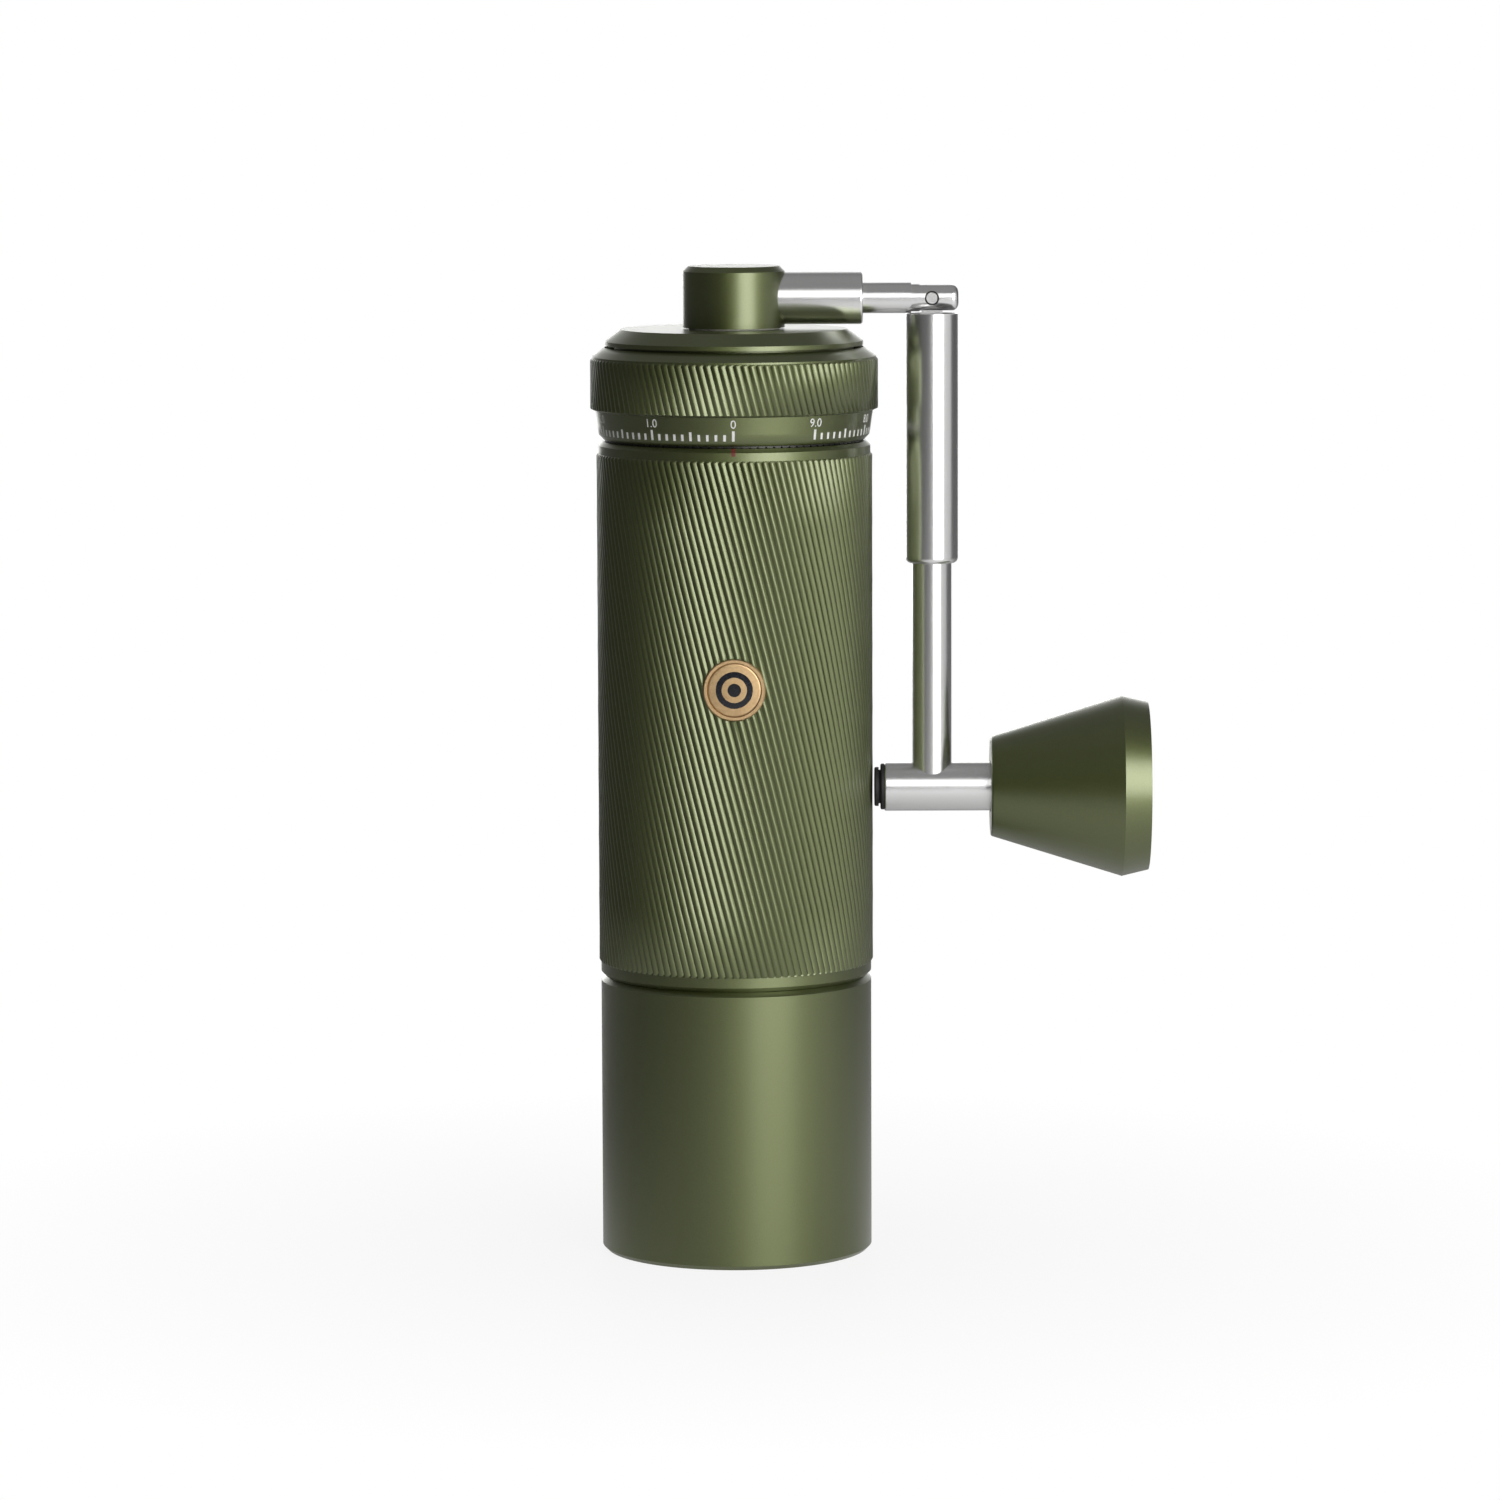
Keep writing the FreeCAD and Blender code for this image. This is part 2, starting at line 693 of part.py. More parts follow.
def shaft_bore(clearance, bottom, top):
    """Shaft section with one flat, grown by a clearance."""
    bore = Part.makeCylinder(shaft_r + clearance, top - bottom, V(0, 0, bottom))
    flat_y = shaft_r - FLAT_DEPTH + clearance
    return bore.cut(box(-SHAFT_D, SHAFT_D, flat_y, flat_y + SHAFT_D, bottom, top))


def make_inner_burr():
    rim = Part.makeCylinder(cone_low_r - FINE_TOOTH_DEPTH, CONE_RIM, V(0, 0, cone_base_z))
    grinding = twisted_teeth(
        FINE_TEETH,
        fine_tooth(cone_low_r, cone_low_r - FINE_TOOTH_DEPTH),
        fine_tooth(cone_mid_r, cone_mid_r - FINE_TOOTH_DEPTH),
        ring_burr_z,
        grind_top_z,
        FINE_TWIST,
    )
    breaking = twisted_teeth(
        CONE_FINS,
        broad_tooth(cone_mid_r, cone_mid_r - CONE_FIN_DEPTH),
        broad_tooth(cone_top_root_r + CONE_FIN_DEPTH, cone_top_root_r),
        grind_top_z,
        cone_top_z,
        CONE_TWIST,
    )
    body = rim.multiFuse([grinding, breaking])
    return body.cut(shaft_bore(SEAT, cone_base_z - PAST, cone_top_z + PAST))


def make_burr_lock_ring():
    inner_r = ring_tip_low_r + FREE
    body = ring(inner_r, burr_bore_r - SEAT, lock_ring_z, ring_burr_z)
    half = LOCK_RING_NOTCH_WIDTH / 2
    notch = box(inner_r / 2, burr_bore_r, -half, half, lock_ring_z, lock_ring_z + LOCK_RING_HEIGHT / 2)
    return body.cut(around(notch, LOCK_RING_NOTCHES, 45))


# Dial and its detent
def make_adjustment_dial():
    scale_top_r = crest_r + SCALE_UPPER_PROUD
    grip_z = dial_z + DIAL_FOOT_BEVEL + SCALE_HEIGHT
    grip_top_z = grip_z + DIAL_GRIP_HEIGHT + FLUTE_RUN_OUT
    land_z = shoulder_z + RUN + DETENT_HEIGHT
    lower = turned(
        [
            (0, dial_z),
            (crest_r - DIAL_FOOT_INSET, dial_z),
            (crest_r - SCALE_LOWER_INSET, dial_z + DIAL_FOOT_BEVEL),
            (scale_top_r, grip_z),
            (0, grip_z),
        ]
    )
    upper = turned(
        [
            (0, grip_top_z),
            (dial_band_r, grip_top_z),
            (dial_band_r, grip_z + DIAL_GRIP_HEIGHT + DIAL_TOP_BAND),
            (mouth_r + DIAL_MOUTH_EDGE, dial_top_z),
            (0, dial_top_z),
        ]
    )
    bore = turned(
        [
            (0, dial_z - PAST),
            (detent_r + SEAT, dial_z - PAST),
            (detent_r + SEAT, land_z + SEAT),
            (neck_r + RUN, land_z + SEAT),
            (neck_r + RUN, slot_z),
            (thread_r, slot_z),
            (thread_r, retainer_z),
            (mouth_r, retainer_z),
            (mouth_r, dial_top_z + PAST),
            (0, dial_top_z + PAST),
        ]
    )
    body = fluted(dial_crest_r, scale_top_r, grip_z, dial_band_r, grip_top_z).multiFuse([lower, upper])
    return body.cut(bore)


def make_detent_ring():
    bottom = shoulder_z + RUN
    body = ring(neck_r + RUN, detent_r, bottom, bottom + DETENT_HEIGHT)
    half = DETENT_NOTCH_DEPTH
    corners = [V(neck_r, -half, bottom), V(neck_r, half, bottom), V(neck_r, 0, bottom + DETENT_NOTCH_DEPTH)]
    notch = Part.Face(Part.makePolygon(corners + corners[:1])).extrude(RIGHT * (2 * DETENT_WIDTH))
    return body.cut(around(notch, DETENT_NOTCHES))


def make_dial_retaining_ring():
    inner_r = neck_r - RETAINER_GROOVE + RUN
    return snap_ring(inner_r, mouth_r - FREE, retainer_z + RUN, RETAINER_THICKNESS, RETAINER_SPLIT)


def make_click_plunger():
    bottom = shoulder_z - PLUNGER_LENGTH + SEAT
    body = Part.makeCylinder(PLUNGER_D / 2, PLUNGER_LENGTH - SEAT, V(0, plunger_r, bottom))
    depth = CLICK_BALL_D + FREE
    bore = Part.makeCylinder(CLICK_BALL_D / 2 + RUN, depth, V(0, plunger_r, shoulder_z - depth))
    return body.cut(bore)


def make_click_ball():
    return Part.makeSphere(CLICK_BALL_D / 2, V(0, plunger_r, shoulder_z + RUN / 2 - CLICK_BALL_D / 2))


# Carriage
def make_lift_carriage():
    housing_height = BEARING_FLOOR + BEARING_WIDTH + RUN
    body = spider([], thread_r - SLIDE, CARRIAGE_ARM_HEIGHT, carriage_z, housing_height)
    seat = Part.makeCylinder(bearing_r + SEAT, housing_height, V(0, 0, upper_bearing_z - SEAT))
    passage = Part.makeCylinder(inner_race_r + FREE, housing_height, V(0, 0, carriage_z))
    return body.cut([seat, passage])


# Shaft
nut_z = cone_base_z - WASHER_THICKNESS - SEAT - NUT_HEIGHT


def make_main_shaft():
    tip_z = nut_z - THREAD_SHOW
    tip = Part.makeCylinder(THREAD_D / 2, cone_base_z - tip_z, V(0, 0, tip_z))
    flatted = shaft_bore(0, cone_base_z, collar_z)
    collar = Part.makeCylinder(shaft_r + COLLAR_WIDTH, COLLAR_HEIGHT, V(0, 0, collar_z))
    round_part = Part.makeCylinder(shaft_r, hex_z - collar_z, V(0, 0, collar_z))
    hex_end = hexagon(HEX_FLATS, hex_z, hex_z + HEX_LENGTH)
    body = tip.multiFuse([flatted, collar, round_part, hex_end])
    groove = ring(shaft_r - CLIP_GROOVE, shaft_r + PAST, shaft_clip_z, shaft_clip_z + CLIP_THICKNESS + SEAT)
    return body.cut(groove)


def make_shaft_circlip():
    inner_r = shaft_r - CLIP_GROOVE + SEAT
    return snap_ring(inner_r, shaft_r + CLIP_WIDTH, shaft_clip_z, CLIP_THICKNESS, CLIP_WIDTH)


def make_burr_washer():
    return ring(THREAD_D / 2 + SEAT, WASHER_D / 2, cone_base_z - WASHER_THICKNESS, cone_base_z)


def make_burr_nut():
    body = hexagon(NUT_FLATS, nut_z, nut_z + NUT_HEIGHT)
    return body.cut(Part.makeCylinder(THREAD_D / 2 + SEAT, NUT_HEIGHT, V(0, 0, nut_z)))


def make_burr_spring():
    mean_r = shaft_r + COLLAR_WIDTH - BURR_SPRING_WIRE / 2 + RUN
    return coil(
        "burr_spring",
        mean_r,
        BURR_SPRING_WIRE,
        spring_z + RUN,
        lower_bearing_z - RUN,
        BURR_SPRING_TURNS,
    )


# Lid
def make_lid():
    boss_r = bush_r + LID_BOSS_WALL
    plug_r = hopper_r - SLIDE
    recess_r = bush_r + BUSH_FLANGE + SEAT
    recess_z = lid_top_z - BUSH_FLANGE_THICKNESS + HUB_GAP - RUN
    under_z = lid_top_z - LID_TOP
    plug_z = neck_z - LID_PLUG_DEPTH
    return turned(
        [
            (bush_r + SEAT, bush_z),
            (boss_r, bush_z),
            (boss_r, under_z),
            (plug_r - LID_PLUG_WALL, under_z),
            (plug_r - LID_PLUG_WALL, plug_z),
            (plug_r, plug_z),
            (plug_r, neck_z),
            (neck_r - SLIDE, neck_z),
            (neck_r - SLIDE, lid_z),
            (lid_r, lid_z),
            (lid_r, lid_z + LID_EDGE),
            (lid_r - LID_BEVEL_WIDTH, lid_top_z),
            (recess_r, lid_top_z),
            (recess_r, recess_z - SEAT),
            (bush_r + SEAT, recess_z - SEAT),
        ]
    )


def make_lid_bush():
    top = hub_z - RUN
    flange_z = top - BUSH_FLANGE_THICKNESS
    return turned(
        [
            (stem_r + RUN, bush_z),
            (bush_r, bush_z),
            (bush_r, flange_z),
            (bush_r + BUSH_FLANGE, flange_z),
            (bush_r + BUSH_FLANGE, top),
            (stem_r + RUN, top),
        ]
    )


# Crank
def make_crank_hub():
    hub_r = HUB_D / 2
    socket_top_z = stem_z + SOCKET_LENGTH + SEAT
    groove_r = stem_r - CLIP_GROOVE
    body = turned(
        [
            (socket_r + SEAT, stem_z),
            (stem_r, stem_z),
            (stem_r, hub_clip_z),
            (groove_r, hub_clip_z),
            (groove_r, hub_clip_z + CLIP_THICKNESS + SEAT),
            (stem_r, hub_clip_z + CLIP_THICKNESS + SEAT),
            (stem_r, hub_z),
            (hub_r, hub_z),
            (hub_r, hub_top_z - HUB_BEVEL),
            (hub_r - HUB_BEVEL, hub_top_z),
            (0, hub_top_z),
            (0, socket_top_z),
            (socket_r + SEAT, socket_top_z),
        ]
    )
    return body.cut(Part.makeCylinder(ARM_D / 2 + SEAT, HUB_D, V(ARM_DEPTH - SEAT, 0, arm_z), RIGHT))


def make_drive_socket():
    body = Part.makeCylinder(socket_r, SOCKET_LENGTH, V(0, 0, stem_z))
    return body.cut(hexagon(HEX_FLATS + 2 * RUN, stem_z, stem_z + SOCKET_LENGTH))


def make_hub_circlip():
    inner_r = stem_r - CLIP_GROOVE + SEAT
    return snap_ring(inner_r, stem_r + BUSH_WALL, hub_clip_z, CLIP_THICKNESS, CLIP_WIDTH)


def make_arm_tube():
    arm_r = ARM_D / 2
    bore_r = hinge_rod_r + SEAT
    bore_x = arm_end_x - ARM_TUBE_BORE_DEPTH
    return turned_on_x(
        [
            (ARM_DEPTH, 0),
            (ARM_DEPTH, arm_r),
            (arm_end_x, arm_r, ARM_EDGE),
            (arm_end_x, bore_r),
            (bore_x, bore_r),
            (bore_x, 0),
        ],
        arm_z,
    )


def make_hinge_rod():
    start_x = arm_end_x - ARM_TUBE_BORE_DEPTH + SEAT
    end_x = pin_x + KNUCKLE_FRONT
    body = turned_on_x(
        [
            (start_x, 0),
            (start_x, hinge_rod_r),
            (knuckle_x, hinge_rod_r),
            (knuckle_x, knuckle_r),
            (end_x, knuckle_r, KNUCKLE_ROUND),
            (end_x, 0),
        ],
        arm_z,
    )
    slot_half = TONGUE / 2 + RUN
    slot_x = pin_x - TONGUE_HALF_WIDTH - FREE
    slot = box(slot_x, end_x + PAST, -slot_half, slot_half, arm_z - KNUCKLE_D, arm_z + KNUCKLE_D)
    pin_hole = Part.makeCylinder(PIN_D / 2 + SEAT, 2 * KNUCKLE_D, V(pin_x, KNUCKLE_D, arm_z), FRONT)
    return body.cut([slot, pin_hole])


def make_hinge_pin():
    half = knuckle_r - PIN_SHORT
    return Part.makeCylinder(PIN_D / 2, 2 * half, V(pin_x, half, arm_z), FRONT)


# Handle
def make_link_rod():
    stem_top_z = arm_z - ROD_STEM_TOP
    rod = Part.makeCylinder(rod_r, rod_shoulder_z - cross_z, V(pin_x, 0, cross_z))
    stem = Part.makeCylinder(ROD_STEM_D / 2, stem_top_z - rod_shoulder_z, V(pin_x, 0, rod_shoulder_z))
    left = pin_x - TONGUE_HALF_WIDTH
    right = pin_x + TONGUE_HALF_WIDTH
    blade = box(left, right, -TONGUE / 2, TONGUE / 2, stem_top_z, arm_z)
    eye = Part.makeCylinder(TONGUE_HALF_WIDTH, TONGUE, V(pin_x, TONGUE / 2, arm_z), FRONT)
    body = rod.multiFuse([stem, blade, eye])
    return body.cut(Part.makeCylinder(PIN_D / 2 + RUN, 2 * TONGUE, V(pin_x, TONGUE, arm_z), FRONT))


def make_cross_tube():
    body = turned_on_x(
        [
            (cross_x, 0),
            (cross_x, cross_r, CROSS_EDGE),
            (cross_end_x, cross_r, CROSS_EDGE),
            (cross_end_x, 0),
        ],
        cross_z,
    )
    rod_hole = Part.makeCylinder(rod_r + SEAT, CROSS_D, V(pin_x, 0, cross_z - SEAT))
    stem_hole_r = BUMPER_STEM_D / 2 + SEAT
    bumper_hole = Part.makeCylinder(stem_hole_r, BUMPER_STEM + SEAT, V(cross_x, 0, cross_z), RIGHT)
    thread_x = cross_end_x - AXLE_THREAD - SEAT
    thread_hole_r = AXLE_THREAD_D / 2 + SEAT
    axle_hole = Part.makeCylinder(thread_hole_r, AXLE_THREAD + PAST, V(thread_x, 0, cross_z), RIGHT)
    return body.cut([rod_hole, bumper_hole, axle_hole])


def make_bumper():
    groove_x = bumper_x + BUMPER_TIP
    flange_x = groove_x + BUMPER_GROOVE
    return turned_on_x(
        [
            (bumper_x, 0),
            (bumper_x, BUMPER_D / 2, BUMPER_ROUND),
            (groove_x, BUMPER_D / 2),
            (groove_x, BUMPER_GROOVE_D / 2),
            (flange_x, BUMPER_GROOVE_D / 2),
            (flange_x, BUMPER_FLANGE_D / 2, BUMPER_ROUND),
            (cross_x, BUMPER_FLANGE_D / 2),
            (cross_x, BUMPER_STEM_D / 2),
            (cross_x + BUMPER_STEM, BUMPER_STEM_D / 2),
            (cross_x + BUMPER_STEM, 0),
        ],
        cross_z,
    )


head_x = cavity_x + KNOB_BUSH_FLANGE + RUN


def make_knob_axle():
    thread_x = cross_end_x - AXLE_THREAD
    head_end_x = head_x + AXLE_HEAD
    body = turned_on_x(
        [
            (thread_x, 0),
            (thread_x, AXLE_THREAD_D / 2),
            (cross_end_x, AXLE_THREAD_D / 2),
            (cross_end_x, AXLE_D / 2),
            (head_x, AXLE_D / 2),
            (head_x, AXLE_HEAD_D / 2),
            (head_end_x, AXLE_HEAD_D / 2, EDGE_BREAK),
            (head_end_x, 0),
        ],
        cross_z,
    )
    key = hexagon(AXLE_KEY_FLATS, 0, AXLE_KEY_DEPTH + PAST)
    key.rotate(V(0, 0, 0), V(0, 1, 0), 90)
    key.translate(V(head_end_x - AXLE_KEY_DEPTH, 0, cross_z))
    return body.cut(key)


def make_sleeve_spring():
    stem_r = ROD_STEM_D / 2
    mean_r = (stem_r + rod_r + ROD_RUN) / 2
    bottom = rod_shoulder_z + RUN
    top = arm_z - SLEEVE_SHOULDER - RUN
    return coil("sleeve_spring", mean_r, SLEEVE_SPRING_WIRE, bottom, top, SLEEVE_SPRING_TURNS, pin_x)


# Locking sleeve
def make_lock_sleeve():
    mouth = sleeve_r - SLEEVE_EDGE
    countersink = mouth - sleeve_bore_r
    guide_r = rod_r + ROD_RUN
    inner_z = arm_z - SLEEVE_SHOULDER
    body = turned(
        [
            (guide_r, sleeve_z),
            (sleeve_r, sleeve_z, SLEEVE_ROUND),
            (sleeve_r, sleeve_top_z),
            (mouth, sleeve_top_z),
            (sleeve_bore_r, sleeve_top_z - countersink),
            (sleeve_bore_r, inner_z),
            (guide_r, inner_z),
        ]
    )
    body.translate(V(pin_x, 0, 0))
    return body


# Knob
def make_knob():
    large_r = KNOB_LARGE_D / 2
    end_r = large_r - KNOB_BEVEL_DEPTH
    mouth_bore_r = cross_r + FREE
    cap_x = knob_end_x - CAP_THICKNESS - SEAT
    return turned_on_x(
        [
            (knob_x, mouth_bore_r),
            (knob_x, KNOB_SMALL_D / 2, KNOB_ROUND),
            (knob_large_x, large_r),
            (knob_end_x, end_r),
            (knob_end_x, end_r - CAP_RIM),
            (cap_x, end_r - CAP_RIM),
            (cap_x, KNOB_CAVITY_D / 2),
            (cavity_x, KNOB_CAVITY_D / 2),
            (cavity_x, knob_bore_r),
            (cross_end_x + RUN + KNOB_BUSH_FLANGE, knob_bore_r),
            (cross_end_x + RUN + KNOB_BUSH_FLANGE, mouth_bore_r),
        ],
        cross_z,
    )


def make_knob_bush(seat_x, way):
    """Flanged bush. Its flange lies on the knob's face at seat_x and its tube runs into the knob."""
    bore_r = AXLE_D / 2 + RUN
    tube_r = knob_bore_r - SEAT
    flange_r = cross_r + FREE - SEAT
    return turned_on_x(
        [
            (seat_x - way * KNOB_BUSH_FLANGE, bore_r),
            (seat_x - way * KNOB_BUSH_FLANGE, flange_r),
            (seat_x, flange_r),
            (seat_x, tube_r),
            (seat_x + way * KNOB_BUSH_LENGTH, tube_r),
            (seat_x + way * KNOB_BUSH_LENGTH, bore_r),
        ],
        cross_z,
    )


def make_knob_bushes():
    near = make_knob_bush(cross_end_x + RUN + KNOB_BUSH_FLANGE, 1)
    far = make_knob_bush(cavity_x, -1)
    return Part.makeCompound([near, far])


def make_knob_end_cap():
    cap_r = KNOB_LARGE_D / 2 - KNOB_BEVEL_DEPTH - CAP_RIM - RUN
    return turned_on_x(
        [
            (knob_end_x - CAP_THICKNESS, 0),
            (knob_end_x - CAP_THICKNESS, cap_r),
            (knob_end_x, cap_r, EDGE_BREAK),
            (knob_end_x, 0),
        ],
        cross_z,
    )


pieces = {
    "catch_cup": make_catch_cup(),
    "cup_seal_ring": make_cup_seal_ring(),
    "barrel": make_barrel(),
    "badge": make_badge(),
    "lower_bridge": make_lower_bridge(),
    "lower_bearing_outer": make_outer_race(lower_bearing_z),
    "lower_bearing_inner": make_inner_race(lower_bearing_z, RUN),
    "outer_burr": make_outer_burr(),
    "burr_lock_ring": make_burr_lock_ring(),
    "dial_retaining_ring": make_dial_retaining_ring(),
    "click_plunger": make_click_plunger(),
    "click_ball": make_click_ball(),
    "adjustment_dial": make_adjustment_dial(),
    "detent_ring": make_detent_ring(),
    "lift_carriage": make_lift_carriage(),
    "upper_bearing_outer": make_outer_race(upper_bearing_z),
    "main_shaft": make_main_shaft(),
    "upper_bearing_inner": make_inner_race(upper_bearing_z, SEAT),
    "shaft_circlip": make_shaft_circlip(),
    "inner_burr": make_inner_burr(),
    "burr_washer": make_burr_washer(),
    "burr_nut": make_burr_nut(),
    "burr_spring": make_burr_spring(),
    "lid": make_lid(),
    "lid_bush": make_lid_bush(),
    "crank_hub": make_crank_hub(),
    "drive_socket": make_drive_socket(),
    "hub_circlip": make_hub_circlip(),
    "arm_tube": make_arm_tube(),
    "hinge_rod": make_hinge_rod(),
    "hinge_pin": make_hinge_pin(),
    "link_rod": make_link_rod(),
    "cross_tube": make_cross_tube(),
    "bumper": make_bumper(),
    "knob_axle": make_knob_axle(),
    "sleeve_spring": make_sleeve_spring(),
    "lock_sleeve": make_lock_sleeve(),
    "knob": make_knob(),
    "knob_bushes": make_knob_bushes(),
    "knob_end_cap": make_knob_end_cap(),
}

os.makedirs("parts", exist_ok=True)
for name, shape in pieces.items():
    shape.exportStep("parts/" + name + ".step")
    state = "valid" if shape.isValid() else "BAD"
    print(name, "solids:", len(shape.Solids), "volume:", round(shape.Volume, 1), state)
print("height", round(hub_top_z, 2), "pin", round(pin_x, 3), round(arm_z, 3), "cross", round(cross_z, 3))
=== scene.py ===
import json
import math
from functools import partial

import bpy
from mathutils import Matrix, Vector


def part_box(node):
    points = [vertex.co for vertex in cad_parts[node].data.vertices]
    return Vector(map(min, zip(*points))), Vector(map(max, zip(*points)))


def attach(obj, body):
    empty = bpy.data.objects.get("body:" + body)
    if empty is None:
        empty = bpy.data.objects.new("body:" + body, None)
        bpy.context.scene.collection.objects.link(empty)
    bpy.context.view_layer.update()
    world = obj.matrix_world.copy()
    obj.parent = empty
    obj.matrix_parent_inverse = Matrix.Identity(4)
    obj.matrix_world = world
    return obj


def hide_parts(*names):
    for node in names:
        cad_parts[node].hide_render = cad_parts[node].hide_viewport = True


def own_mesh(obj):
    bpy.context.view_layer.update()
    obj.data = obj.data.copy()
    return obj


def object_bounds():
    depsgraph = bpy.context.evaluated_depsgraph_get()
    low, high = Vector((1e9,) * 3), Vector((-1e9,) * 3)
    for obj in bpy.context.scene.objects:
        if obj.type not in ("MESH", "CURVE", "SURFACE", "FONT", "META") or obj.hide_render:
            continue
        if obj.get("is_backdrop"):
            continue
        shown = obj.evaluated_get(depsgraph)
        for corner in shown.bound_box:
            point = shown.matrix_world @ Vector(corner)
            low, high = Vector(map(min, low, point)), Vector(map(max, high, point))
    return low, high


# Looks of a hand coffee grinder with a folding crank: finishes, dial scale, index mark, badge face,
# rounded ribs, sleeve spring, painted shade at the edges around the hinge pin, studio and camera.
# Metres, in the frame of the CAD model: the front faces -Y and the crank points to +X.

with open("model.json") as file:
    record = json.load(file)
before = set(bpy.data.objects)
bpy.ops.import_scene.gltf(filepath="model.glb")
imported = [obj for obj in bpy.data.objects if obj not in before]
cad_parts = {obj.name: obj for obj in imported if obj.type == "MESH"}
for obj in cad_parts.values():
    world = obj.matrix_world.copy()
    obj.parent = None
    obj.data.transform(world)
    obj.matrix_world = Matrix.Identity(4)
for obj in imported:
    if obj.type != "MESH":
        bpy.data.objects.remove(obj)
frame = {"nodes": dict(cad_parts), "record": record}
cad_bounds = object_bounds()
nodes = frame["nodes"]
MM = 0.001
FRONT_ANGLE = -math.pi / 2

# Filled marks, above and below the surface that they lie in
MARK_PROUD = 0.015 * MM
MARK_SUNK = 0.05 * MM

# Scale on the dial's conical band
SCALE_FOOT = 0.85 * MM  # band's lower edge above the dial's underside
SCALE_HEIGHT = 4.5 * MM
SCALE_LOWER_R = 25.5 * MM
SCALE_UPPER_R = 26.15 * MM
SCALE_STEPS = 10
SCALE_STEP = math.radians(36)
MINOR_PER_STEP = 10
MARK_WIDTH = 0.5 * MM
MARK_START = 0.12 * MM  # above the band's lower edge
MAJOR_LENGTH = 1.9 * MM
HALF_LENGTH = 1.65 * MM
MINOR_LENGTH = 1.2 * MM
DIGIT_HEIGHT = 1.55 * MM
DIGIT_SHARE = 0.7  # a digit's height as a share of the font's size
DIGIT_GAP = 0.5 * MM  # above a major mark
scale_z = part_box("adjustment_dial")[0].z + SCALE_FOOT

# Index mark across the barrel's top bevel
BARREL_BAND_R = 25.65 * MM
BARREL_SHOULDER = 154.0 * MM
BARREL_BEVEL = 0.75 * MM
INDEX_WIDTH = 0.75 * MM
INDEX_BAND_LENGTH = 0.6 * MM

# Badge face, a shallow dome inside the rim, and its inlay
BADGE_FACE_DROP = 0.2 * MM  # foot of the dome behind the rim
BADGE_FACE_R = 5.08 * MM
BADGE_DOME = 0.17 * MM
BADGE_RINGS = 12  # rings of faces in the dome
INLAY_PROUD = 0.015 * MM
INLAY_SUNK = 0.05 * MM
INLAY_RINGS = ((2.35 * MM, 3.45 * MM), (0.0, 1.25 * MM))
ROUND_SEGMENTS = 64

# Ribs, whose crests are rounded over
WELD = 0.001 * MM
RIB_ROUNDING = math.radians(42)  # edges flatter than this are rounded

# Countersunk edge of the hinge pin's hole, drawn as flat dark rings of painted shade
KNUCKLE_R = 2.57 * MM
PIN_EDGE_INNER = 1.06 * MM
PIN_EDGE_OUTER = 1.36 * MM

# Grain of the finishes
NOISE_DETAIL = 3.0
NOISE_LOW = 0.3  # most of the noise lies between these values
NOISE_HIGH = 0.7
LEVEL_TURNING = (500, 1, 1)  # turning marks are this much finer along the axis
UPRIGHT_TURNING = (1, 1, 500)

# Finishes that differ only in these values
FINISHES = {
    "burr_steel": dict(
        dark=(0.4, 0.4, 0.41),
        pale=(0.5, 0.5, 0.51),
        roughness=(0.25, 0.35),
        grain=1500,
    ),
    "machined_steel": dict(
        dark=(0.5, 0.5, 0.5),
        pale=(0.6, 0.6, 0.6),
        roughness=(0.2, 0.3),
        grain=90,
        stretch=(1, 1, 90),
    ),
    "spring_steel": dict(
        dark=(0.3, 0.3, 0.31),
        pale=(0.4, 0.4, 0.41),
        roughness=(0.25, 0.35),
        grain=900,
    ),
    "bare_aluminium": dict(
        dark=(0.66, 0.66, 0.67),
        pale=(0.76, 0.76, 0.77),
        roughness=(0.35, 0.45),
        grain=3000,
    ),
    "black_rubber": dict(
        dark=(0.008, 0.008, 0.008),
        pale=(0.02, 0.02, 0.02),
        roughness=(0.55, 0.7),
        grain=2500,
        metallic=0.0,
    ),
    "bronze": dict(
        dark=(0.51, 0.345, 0.18),
        pale=(0.59, 0.415, 0.225),
        roughness=(0.36, 0.46),
        grain=2200,
    ),
    "dark_steel": dict(
        dark=(0.04, 0.04, 0.038),
        pale=(0.06, 0.06, 0.056),
        roughness=(0.35, 0.45),
        grain=1500,
    ),
    "bearing_polymer": dict(
        dark=(0.7, 0.68, 0.6),
        pale=(0.78, 0.76, 0.7),
        roughness=(0.4, 0.5),
        grain=1200,
        metallic=0.0,
    ),
    "white_fill": dict(
        dark=(0.68, 0.68, 0.66),
        pale=(0.8, 0.8, 0.78),
        roughness=(0.45, 0.6),
        grain=5000,
        metallic=0.0,
    ),
    "red_fill": dict(
        dark=(0.11, 0.014, 0.009),
        pale=(0.16, 0.02, 0.013),
        roughness=(0.4, 0.55),
        grain=5000,
        metallic=0.0,
    ),
    "black_enamel": dict(
        dark=(0.006, 0.007, 0.01),
        pale=(0.014, 0.015, 0.02),
        roughness=(0.12, 0.25),
        grain=3000,
        metallic=0.0,
    ),
}

# Nodes whose finish isn't the one named after their slot
NODE_FINISHES = {
    "link_rod": "polished_steel_upright",
    "lock_sleeve": "polished_steel_upright",
    "detent_ring": "dark_steel",
    "dial_retaining_ring": "dark_steel",
}

# Studio walls, by how far a direction points backwards and upwards, from 0 to 1
BACKDROP_START = 0.72
BACKDROP_FULL = 0.98
CEILING_START = 0.3
CEILING_FULL = 0.95
WALL_GLOW = 0.07
CEILING_GLOW = 0.27

